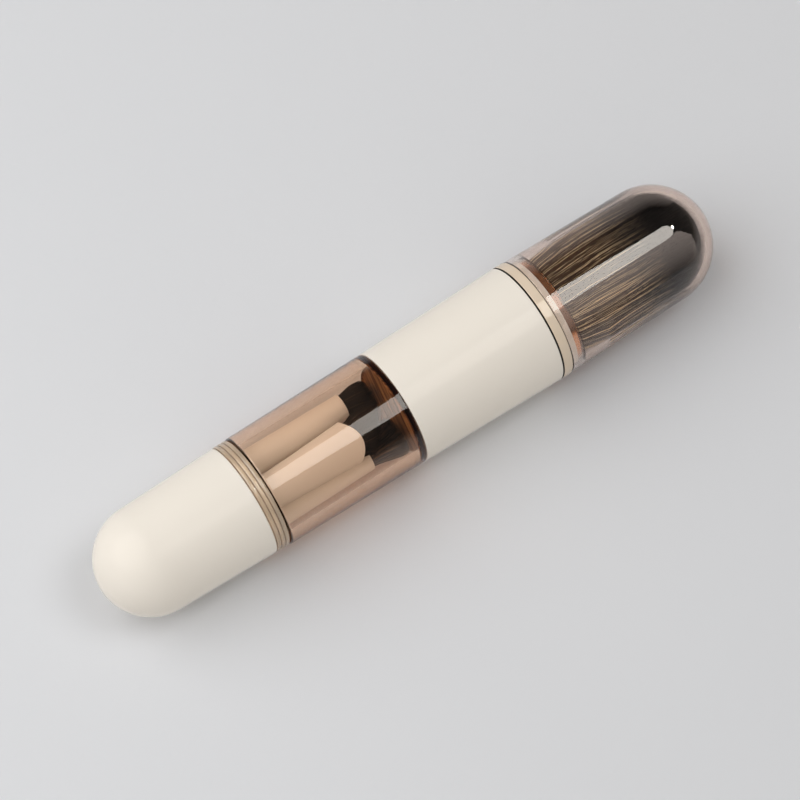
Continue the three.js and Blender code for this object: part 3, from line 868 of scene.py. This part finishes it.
ridge_start = dome_mouth_x + SEAM_GAP
ridge_pitch = (collar_end_x - ridge_start) / RIDGES
swing = np.linspace(-1, 1, RIDGE_STEPS + 1) * RIDGE_SWING
crest = np.column_stack((
    (swing + 1) / 2 * ridge_pitch,
    collar_r - RIDGE_DEPTH + RIDGE_DEPTH * np.sqrt(1 - swing**2),
))
ridges = np.vstack([crest + (ridge_start + place * ridge_pitch, 0) for place in range(RIDGES)])
collar = lathe_piece("ridged_collar_ring", [
    (collar_spigot_x, collar_bore_r, 0.12),
    (collar_spigot_x, collar_spigot_r, 0.12),
    (ridge_start, collar_spigot_r, 0.05),
    *corners_of(ridges),
    (collar_end_x, collar_bore_r, 0.12),
], "dome", [champagne_clear, groove_shade], "ridged_collar")
# Painted shade: the grooves' lower flanks are brown.
other_finish(collar, groove_shade, lambda x, r: (
    (x > ridge_start + CLOSE) & (r > collar_r - RIDGE_DEPTH) & (r < collar_r - RIDGE_DEPTH / 2)
))

# %% [markdown]
# ## The neck collar
#
# The clear neck grips the powder brush's ferrule and lets the cap slide over it. Its ring beside
# the sleeve is milky, with a paler face towards the cap and a face in the gap at the sleeve that
# is painted in dark shade. Past the ring it is bare, so the copper band shows through it, and a
# thin line of painted shade darkens its mouth.

# %% Neck collar
SKIRT_WALL = 0.9
NECK_SPIGOT_WALL = 0.55
CAP_MOUTH_WALL = 1.0
BAND_LENGTH = 1.75
FACE_GAP = 0.2
SHADOW_GAP = 0.3
MILK_OVERLAP = 0.15
# How far the line of painted shade reaches back from the neck's mouth, in mm.
MOUTH_SHADE_WIDTH = 0.16

neck_bore_r = core_r - SKIRT_WALL
cap_mouth_bore_r = cap_r - CAP_MOUTH_WALL
neck_spigot_r = cap_mouth_bore_r - SLIP_GAP
band_seat_r = neck_spigot_r - NECK_SPIGOT_WALL
band_x = neck_spigot_x - BAND_LENGTH
ring_start_x = sleeve_end_x + SHADOW_GAP
ring_end_x = cap_mouth_x - SEAM_GAP
neck = lathe_piece("neck_collar_ring", [
    (skirt_start_x, neck_bore_r, 0.15),
    (skirt_start_x, core_r, 0.3),
    (ring_start_x, core_r, 0.08),
    (ring_start_x, neck_r, 0.2),
    (ring_end_x, neck_r, 0.2),
    (ring_end_x, neck_spigot_r, 0.08),
    (band_x + MILK_OVERLAP, neck_spigot_r, 0),
    (neck_spigot_x - MOUTH_SHADE_WIDTH, neck_spigot_r, 0),
    (neck_spigot_x, neck_spigot_r, 0.15),
    (neck_spigot_x, band_seat_r, 0.1),
    (band_x - FACE_GAP, band_seat_r, 0.05),
    (band_x - FACE_GAP, neck_bore_r, 0.05),
], "barrel", [
    champagne_milky, champagne_pale, champagne_bare, seam_shade,
], "neck_collar")
other_finish(neck, champagne_pale, lambda x, r: (x > ring_end_x) & (r > neck_spigot_r - NEAR))
other_finish(neck, champagne_bare, lambda x, r: x > band_x + MILK_OVERLAP)
# Painted shade on the skirt and on the ring's face in the gap at the sleeve.
other_finish(neck, seam_shade, lambda x, r: (x < ring_start_x + NEAR) & (r > core_r - NEAR))
# Painted shade: a dark line round the neck's mouth.
other_finish(neck, seam_shade, lambda x, r: (
    (x > neck_spigot_x - MOUTH_SHADE_WIDTH) & (r > neck_spigot_r - NEAR)
))

# %% [markdown]
# ## The powder ferrule
#
# A turned tube with a polished copper band at its mouth and a satin tail that the neck hides. A
# plug of set resin inside it holds the hair's roots.

# %% Powder ferrule and the plug inside it
FERRULE_WALL = 0.45
BAND_EDGE = 0.1

tail_r = neck_bore_r - GLUE_GAP
ferrule_bore_r = tail_r - FERRULE_WALL
ferrule = lathe_piece("powder_ferrule_band", [
    (ferrule_tail_x, ferrule_bore_r, 0.1),
    (ferrule_tail_x, tail_r, 0.15),
    (band_x, tail_r, 0.08),
    (band_x, band_r, 0.12),
    (ferrule_mouth_x, band_r, 0.15),
    (ferrule_mouth_x, band_r - FERRULE_WALL, 0.12),
    (band_x + FERRULE_WALL, band_r - FERRULE_WALL, 0.08),
    (band_x + FERRULE_WALL, ferrule_bore_r, 0.08),
], "barrel", [copper, satin], "powder_ferrule")
other_finish(ferrule, satin, lambda x, r: x < band_x - BAND_EDGE)

plug_start_x, plug_end_x, plug_r = measure("ferrule_plug")
lathe_piece("ferrule_plug_resin", [
    (plug_start_x, 0, 0),
    (plug_start_x, plug_r, 0.3),
    (plug_end_x, plug_r, 0.3),
    (plug_end_x, 0, 0),
], "barrel", [resin], "ferrule_plug")

# %% [markdown]
# ## The powder cap
#
# A clear thimble with a round end. Its wall is thinner at the mouth, where it slides over the
# neck, and steps inwards just past the neck's end.

# %% Powder cap
CAP_FALL = 0.4
CAP_WALL = 1.65

cap_tip_r = cap_r - CAP_FALL
cap_centre_x = cap_tip_x - cap_tip_r
cap_shoulder_x = neck_spigot_x + FACE_GAP
cap_inner_r = cap_r - CAP_WALL
cap_inner_tip_r = cap_tip_r - CAP_WALL
lathe_piece("powder_cap_dome", [
    *corners_of(arc(cap_centre_x, 0, cap_inner_tip_r, 0, 1, ARC_STEPS)),
    (cap_shoulder_x, cap_inner_r, 0.15),
    (cap_shoulder_x, cap_mouth_bore_r, 0.1),
    (cap_mouth_x, cap_mouth_bore_r, 0.12),
    (cap_mouth_x, cap_r, 0.2),
    *corners_of(arc(cap_centre_x, 0, cap_tip_r, 1, 0, ARC_STEPS)),
], "cap", [smoky_clear], "powder_cap")

# %% [markdown]
# ## Where the small brushes stand
#
# Each small brush has its own axis, parallel to the capsule's. Its place comes from the middle of
# its handle's box, and "out" is the direction from the capsule's axis to the brush's. Its pieces
# are drawn about their own axis, out being up, and then turned and shifted into place.

# %% Small brushes' own axes
BRUSH_CLEARANCE = 0.65
HANDLE_STEP = 0.2


def own_axis(brush):
    """The (y, z) of a small brush's axis, and its turn about X from straight up, in radians."""
    low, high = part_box(brush + "_handle")
    y, z = (low.y + high.y) / 2 / MM, (low.z + high.z) / 2 / MM
    return (y, z), math.atan2(-y, z - AXIS_Z)


def stand(vertices, brush):
    """Move points drawn about the X axis, in millimetres, onto a small brush's axis, in metres:
    y' = y cos - z sin and z' = y sin + z cos, then the shift."""
    (axis_y, axis_z), turn = own_axis(brush)
    x, y, z = vertices.T
    across = y * math.cos(turn) - z * math.sin(turn) + axis_y
    up = y * math.sin(turn) + z * math.cos(turn) + axis_z
    return np.column_stack((x, across, up)) * MM


(axis_y, axis_z), turn = own_axis("eyeshadow")
small_ferrule_r = tube_bore_r - BRUSH_CLEARANCE - math.hypot(axis_y, axis_z - AXIS_Z)
small_handle_r = small_ferrule_r - HANDLE_STEP
print(f"small ferrules: radius {small_ferrule_r:.3f} mm")

# %% [markdown]
# ## Handles and ferrules of the small brushes
#
# A handle is a short rod with a reduced end inside the ferrule. A ferrule starts round and is
# drawn out to the shape of its mouth: the contour brush's is flattened into a fan, the other two
# taper. The outline gives how far each point lies inside the outer surface, so the wall keeps its
# thickness while the section changes.

# %% A ferrule's changing section
SMALL_FERRULE_WALL = 0.35
SMALL_SIDES = 72
FERRULE_ROWS = 16
# Half the width and half the thickness of each mouth, in millimetres.
SMALL_MOUTHS = {
    "eyeshadow": (small_ferrule_r - 0.5, small_ferrule_r - 0.5),
    "contour": (small_ferrule_r + 1.3, small_ferrule_r - 1.2),
    "smudge": (small_ferrule_r - 0.3, small_ferrule_r - 0.3),
}
MOUTH_RECESS = {"eyeshadow": 0.0, "contour": 2.4, "smudge": 0.0}


def about_x(outline):
    """An outline turned about the X axis itself, in millimetres."""
    vertices, loops, totals = turned(outline, SMALL_SIDES)
    return vertices / MM - (0, 0, AXIS_Z), loops, totals


def drawn(points, start, end, mouth, recess):
    """Stretch each ring of a turned outline: its half width and thickness change evenly from
    the round radius at start to the mouth's at end. The mouth's sides are drawn back by
    recess * cos(angle)^2, so that a flattened mouth ends in an arc."""
    share = np.clip((points[:, 0] - start) / (end - start), 0, 1)
    ring = np.hypot(points[:, 1], points[:, 2])
    angle = np.arctan2(points[:, 2], points[:, 1])
    inset = small_ferrule_r - ring
    width = small_ferrule_r + share * (mouth[0] - small_ferrule_r) - inset
    depth = small_ferrule_r + share * (mouth[1] - small_ferrule_r) - inset
    x = points[:, 0] - recess * np.cos(angle) ** 2 * share**3
    return np.column_stack((x, width * np.cos(angle), depth * np.sin(angle)))


# %% Small handles and ferrules
for brush, mouth in SMALL_MOUTHS.items():
    foot_x, tenon_x = measure(brush + "_handle")[:2]
    ferrule_x, mouth_x = measure(brush + "_ferrule")[:2]
    shoulder_x = ferrule_x - FACE_GAP
    tenon_r = min(*mouth, small_handle_r) - SMALL_FERRULE_WALL - GLUE_GAP
    points, loops, totals = about_x(rounded([
        (foot_x, 0, 0),
        (foot_x, small_handle_r, 0.4),
        (shoulder_x, small_handle_r, 0.15),
        (shoulder_x, tenon_r, 0.05),
        (tenon_x, tenon_r, 0.2),
        (tenon_x, 0, 0),
    ]))
    piece_of(
        brush + "_handle_rod", (stand(points, brush), loops, totals),
        brush + "_brush", [inner_plastic], brush + "_handle",
    )
    inner_r = small_ferrule_r - SMALL_FERRULE_WALL
    between = np.linspace(ferrule_x, mouth_x, FERRULE_ROWS)[1:-1]
    points, loops, totals = about_x(rounded([
        (ferrule_x, inner_r, 0.08),
        (ferrule_x, small_ferrule_r, 0.12),
        *[(x, small_ferrule_r, 0) for x in between],
        (mouth_x, small_ferrule_r, 0.14),
        (mouth_x, inner_r, 0.12),
        *[(x, inner_r, 0) for x in between[::-1]],
    ]))
    points = drawn(points, ferrule_x, mouth_x, mouth, MOUTH_RECESS[brush])
    piece_of(
        brush + "_ferrule_tube", (stand(points, brush), loops, totals),
        brush + "_brush", [satin], brush + "_ferrule",
    )

# %% [markdown]
# ## The holder in the dome
#
# A plastic disc with three blind sockets. Its front face is a flat sheet with three round holes,
# which a polygon fill handles best. Everything else on it is a lathe shape: an outer skin with
# rounded edges, and one cup for each socket with a small lead-in at its mouth.

# %% Brush holder
HOLDER_EDGE = 0.3
HOLDER_BEVEL = HOLDER_EDGE * 0.3
SOCKET_DEPTH = 9.0
SOCKET_LEAD = 0.25
MERGE_DISTANCE = 0.00001

bore_r = small_handle_r + SLIP_GAP
socket_r = bore_r + SOCKET_LEAD
holder_back_x, holder_face_x, holder_r = measure("brush_holder")


def cup_faces(outline, y, z, sides):
    """An outline turned about an axis at (y, z), open at its start, with a pole at its end."""
    rings = around(outline[:-1], sides, y, z)
    points = np.vstack((rings, [(outline[-1][0], y, z)]))
    side = np.arange(sides)
    end = (len(outline) - 2) * sides
    fan = np.column_stack((end + side, end + (side + 1) % sides, np.full(sides, len(rings))))
    return points, strips(len(outline) - 1, sides).tolist() + fan.tolist()


rims = [around([(holder_face_x, holder_r - HOLDER_EDGE)], SIDES)]
shells = [cup_faces([
    (holder_face_x, holder_r - HOLDER_EDGE),
    (holder_face_x - HOLDER_BEVEL, holder_r - HOLDER_BEVEL),
    (holder_face_x - HOLDER_EDGE, holder_r),
    (holder_back_x + HOLDER_EDGE, holder_r),
    (holder_back_x + HOLDER_BEVEL, holder_r - HOLDER_BEVEL),
    (holder_back_x, holder_r - HOLDER_EDGE),
    (holder_back_x, 0),
], 0, AXIS_Z, SIDES)]
cup = [
    (holder_face_x, socket_r),
    (holder_face_x - SOCKET_LEAD, bore_r),
    (holder_face_x - SOCKET_DEPTH, bore_r),
    (holder_face_x - SOCKET_DEPTH, 0),
]
for brush in SMALL_MOUTHS:
    (axis_y, axis_z), turn = own_axis(brush)
    rims.append(around([(holder_face_x, socket_r)], SMALL_SIDES, axis_y, axis_z))
    shells.append(cup_faces(cup, axis_y, axis_z, SMALL_SIDES))
    print(f"{brush}: axis at y {axis_y:.2f}, z {axis_z:.2f}, turned {math.degrees(turn):.1f} degrees")

points = [np.vstack(rims)]
faces = [list(t) for t in tessellate_polygon([[Vector(p) for p in rim] for rim in rims])]
count = len(points[0])
for shell_points, shell_faces in shells:
    points.append(shell_points)
    faces += [[corner + count for corner in face] for face in shell_faces]
    count += len(shell_points)

holder_mesh = bpy.data.meshes.new("brush_holder_block")
holder_mesh.from_pydata((np.vstack(points) * MM).tolist(), [], faces)
shape = bmesh.new()
shape.from_mesh(holder_mesh)
bmesh.ops.remove_doubles(shape, verts=shape.verts, dist=MERGE_DISTANCE)
bmesh.ops.recalc_face_normals(shape, faces=shape.faces)
shape.to_mesh(holder_mesh)
shape.free()
in_place(holder_mesh, "dome", [inner_plastic], "brush_holder")

# %% [markdown]
# ## Bristle heads
#
# A head is thousands of single hairs. Each is a three-sided tube with a fine point, rooted inside
# the ferrule at a random place. It keeps its share of the head's width all the way up, so hairs
# hardly cross, and it sways a little, together with its neighbours, as real hair clumps. The tips
# end on a dome. All hairs of a head are worked out at once as arrays.

# %% Lines of the hairs
HAIR_SIDES = 3
HAIR_RINGS = 6
ALONG = np.linspace(0, 1, HAIR_RINGS + 1)
DOME_RIM = 0.98
RAGGED_MOST = 4
SLOW_WAVE = 2.3
CLUMP_TURN = 0.6
WAVE_SHARE = 0.6
SWAY_GROWTH = 3
LEAST_TURN_RADIUS = 1.0
THICKNESS_RANGE = (0.75, 1.25)
TAPER = 1.02


def eased(x, stations, sizes):
    """A size along x that passes smoothly through sizes at the stations."""
    x = np.asarray(x, float)
    place = np.clip(np.searchsorted(stations, x) - 1, 0, len(stations) - 2)
    low, high = np.asarray(stations, float)[place], np.asarray(stations, float)[place + 1]
    share = np.clip((x - low) / (high - low), 0, 1)
    share = share * share * (3 - 2 * share)
    sizes = np.asarray(sizes, float)
    return sizes[place] * (1 - share) + sizes[place + 1] * share


def hair_lines(head, count, chance):
    """Each hair's line about the X axis and its thickness, in millimetres and a row for each
    hair, and its chance number. A hair at share s and angle a of the head runs from the root to
    tip - dome * (1 - sqrt(1 - s^2)), less slant * (1 - s cos(a)) / 2 where the head is cut at a
    slant. Its line is y = s width(x) cos(a) and z = s depth(x) sin(a). Two sine waves turn it a
    little about the axis, in step with its neighbours', and the head's lean and bend grow with
    the square of the share of the length. Bold strands are thicker."""
    share = np.sqrt(chance.random(count)) ** head["crowding"]
    angle = chance.random(count) * 2 * math.pi
    end = head["tip"] - head["dome"] * (1 - np.sqrt(1 - share**2 * DOME_RIM))
    end -= head["slant"] * (1 - share * np.cos(angle)) / 2
    end -= chance.exponential(head["ragged"], count).clip(0, head["ragged"] * RAGGED_MOST)
    x = head["root"] + (end - head["root"])[:, None] * ALONG[None, :]
    width = eased(x, head["stations"], head["widths"])
    depth = eased(x, head["stations"], head["depths"])

    clump = 2.5 * np.sin(3 * angle + 1) + 2 * np.sin(5 * angle + 2 * share) + 4 * share
    clump = clump[:, None] + chance.normal(0, head["loose"], count)[:, None]
    wave = np.sin(x * 2 * math.pi / head["wave_length"] + clump)
    slow = np.sin(x * 2 * math.pi / (SLOW_WAVE * head["wave_length"]) + CLUMP_TURN * clump)
    grow = np.clip(ALONG * SWAY_GROWTH, 0, 1)[None, :]
    sway = (wave * WAVE_SHARE + slow) * head["sway"] * grow
    turn = angle[:, None] + sway / np.maximum(width * share[:, None], LEAST_TURN_RADIUS)
    y = share[:, None] * width * np.cos(turn) + head["lean"] * (ALONG**2)[None, :]
    z = share[:, None] * depth * np.sin(turn) + head["bend"] * (ALONG**2)[None, :]

    strand = chance.random(count)
    thick = head["thick"] * chance.uniform(*THICKNESS_RANGE, count)
    thick = thick * np.where(strand > head["bold_from"], head["bold"], 1.0)
    thick = thick[:, None] * np.sqrt(np.clip(TAPER - ALONG, 0, 1))[None, :]
    return x, y, z, thick, strand


# %% Hairs as arrays
def hair_arrays(head, count, seed):
    """Points, corners, face sizes and corner UVs of a head's hairs. A ring of three points
    goes round each line at every place but the last, which is the tip. Walls join the rings,
    three triangles close the tip and one the root."""
    x, y, z, thick, strand = hair_lines(head, count, np.random.default_rng(seed))
    side = np.arange(HAIR_SIDES) * 2 * math.pi / HAIR_SIDES
    ring_x = np.repeat(x[:, :-1, None], HAIR_SIDES, axis=2)
    ring_y = y[:, :-1, None] + thick[:, :-1, None] * np.cos(side)
    ring_z = z[:, :-1, None] + thick[:, :-1, None] * np.sin(side)
    rings = np.stack((ring_x, ring_y, ring_z), axis=-1).reshape(count, -1, 3)
    tips = np.stack((x[:, -1], y[:, -1], z[:, -1]), axis=-1)[:, None, :]
    points = np.concatenate((rings, tips), axis=1)
    each = points.shape[1]

    corner = np.arange(HAIR_SIDES)
    beside = (corner + 1) % HAIR_SIDES
    here = np.arange(HAIR_RINGS - 1)[:, None] * HAIR_SIDES
    there = here + HAIR_SIDES
    walls = np.stack((here + corner, here + beside, there + beside, there + corner), axis=-1)
    walls = walls.reshape(-1, 4)
    last = (HAIR_RINGS - 1) * HAIR_SIDES
    point = np.column_stack((last + corner, last + beside, np.full(HAIR_SIDES, each - 1)))
    root = -corner[None, :] % HAIR_SIDES
    shift = np.arange(count)[:, None, None] * each
    loops = np.concatenate([
        (faces[None] + shift).reshape(count, -1) for faces in (walls, point, root)
    ], axis=1).ravel()
    totals = np.tile(np.repeat((4, 3), (len(walls), HAIR_SIDES + 1)), count)
    u = np.repeat(strand, each)
    v = np.tile(np.concatenate((np.repeat(ALONG[:-1], HAIR_SIDES), [1.0])), count)
    return points.reshape(-1, 3), loops, totals, np.column_stack((u, v))[loops]


def hair_piece(name, arrays, uv, body, material, replaces):
    """A piece of hair, smooth all over, with its UV map."""
    piece = piece_of(name, arrays, body, [material], replaces)
    sharp = piece.data.attributes.get("sharp_edge")
    if sharp:
        piece.data.attributes.remove(sharp)
    layer = piece.data.uv_layers.new(name=STRAND_UV)
    layer.data.foreach_set("uv", uv.astype(np.float32).ravel())


# %% [markdown]
# ## The powder head
#
# The head fills the cap nearly to its wall and ends in the same dome. It is made as three pieces
# of hair that stand among each other, so that no mesh gets too heavy. A dark core stands in the
# middle, where no light gets to and thousands more hairs would never be seen.

# %% Powder head
POWDER_HAIRS = 5700
POWDER_SEEDS = {"a": 5, "b": 6, "c": 7}
HAIR_CLEARANCE = 0.06
BELLY_AFTER_MOUTH = 5.5

powder_root_x = measure("powder_bristles")[0]
powder_tip_x = cap_centre_x + cap_inner_tip_r - HAIR_CLEARANCE
belly_x = neck_spigot_x + BELLY_AFTER_MOUTH
stations = [powder_root_x, neck_spigot_x, belly_x, cap_centre_x, powder_tip_x]
reach = cap_inner_r - HAIR_CLEARANCE
widths = [ferrule_bore_r - 0.5, band_r - 0.9, reach, reach - 0.15, reach - 0.2]
powder_head = {
    "root": powder_root_x, "tip": powder_tip_x, "dome": cap_inner_tip_r - HAIR_CLEARANCE,
    "stations": stations, "widths": widths, "depths": widths,
    "slant": 0.0, "lean": 0.0, "bend": 0.0, "crowding": 0.45, "ragged": 0.06,
    "wave_length": 9.0, "sway": 0.20, "loose": 1.5,
    "thick": 0.055, "bold_from": 0.86, "bold": 1.75,
}
for part, seed in POWDER_SEEDS.items():
    points, loops, totals, uv = hair_arrays(powder_head, POWDER_HAIRS, seed)
    arrays = ((points + (0, 0, AXIS_Z)) * MM, loops, totals)
    hair_piece("powder_head_hairs_" + part, arrays, uv, "barrel", powder_hair, "powder_bristles")

# %% The powder head's core
CORE_SHARE = 0.9
CORE_ROWS = 20
CORE_ARC_STEPS = 14
CORE_SIDES = 64

dark_core = finish("hair_core", looks((0.012, 0.009, 0.007), 0.9, 0.1))
core_x = np.linspace(powder_root_x, cap_centre_x, CORE_ROWS)
core_r_at = eased(core_x, stations, widths) * CORE_SHARE
core_dome = arc(cap_centre_x, 0, core_r_at[-1], 1, 0, CORE_ARC_STEPS)[1:]
core_outline = np.vstack(([(powder_root_x, 0)], np.column_stack((core_x, core_r_at)), core_dome))
core_outline[-1, 1] = 0
core_arrays = turned(core_outline, CORE_SIDES)
piece_of("powder_head_core", core_arrays, "barrel", [dark_core])

# %% [markdown]
# ## The three small heads
#
# The eyeshadow brush's head is a soft pencil, the contour brush's a flat fan cut at a slant, and
# the smudge brush's a full tuft that leans. Each swells a little past its mouth, up to a belly at
# some share of its length. The hairs of all three are alike but for their colour.

# %% Small heads
SMALL_HAIRS = 1600
FIRST_SMALL_SEED = 20
ROOT_CLEARANCE = 0.15
ROOT_SHARE = 0.9
SMALL_HAIR = {
    "slant": 0.0, "lean": 0.0, "bend": 0.0, "crowding": 0.65, "ragged": 0.12,
    "wave_length": 5.0, "sway": 0.08, "loose": 0.5,
    "thick": 0.075, "bold_from": 1.0, "bold": 1.0,
}
SMALL_HEADS = {
    "eyeshadow": {"bulge": 0.6, "belly": 0.55, "dome": 1.6, "bend": -0.7},
    "contour": {"bulge": 0.25, "belly": 0.5, "dome": 1.5, "slant": 6.3},
    "smudge": {"bulge": 1.45, "belly": 0.85, "dome": 1.4, "lean": 2.4, "bend": -1.4},
}
HAIR_OF = {"eyeshadow": black_hair, "contour": black_hair, "smudge": brown_hair}

for seed, (brush, mouth) in enumerate(SMALL_MOUTHS.items(), start=FIRST_SMALL_SEED):
    head = {**SMALL_HAIR, **SMALL_HEADS[brush]}
    root_x, tip_x = measure(brush + "_bristles")[:2]
    mouth_x = measure(brush + "_ferrule")[1]
    belly_x = mouth_x + (tip_x - head["slant"] - mouth_x) * head["belly"]
    inner_wide, inner_deep = (half - SMALL_FERRULE_WALL - ROOT_CLEARANCE for half in mouth)
    head_wide, head_deep = (half + head["bulge"] for half in mouth)
    head |= {
        "root": root_x, "tip": tip_x, "stations": [root_x, mouth_x, belly_x, tip_x],
        "widths": [inner_wide * ROOT_SHARE, inner_wide, head_wide, head_wide],
        "depths": [inner_deep * ROOT_SHARE, inner_deep, head_deep, head_deep],
    }
    points, loops, totals, uv = hair_arrays(head, SMALL_HAIRS, seed)
    arrays = (stand(points, brush), loops, totals)
    name, body, node = brush + "_head_hairs", brush + "_brush", brush + "_bristles"
    hair_piece(name, arrays, uv, body, HAIR_OF[brush], node)
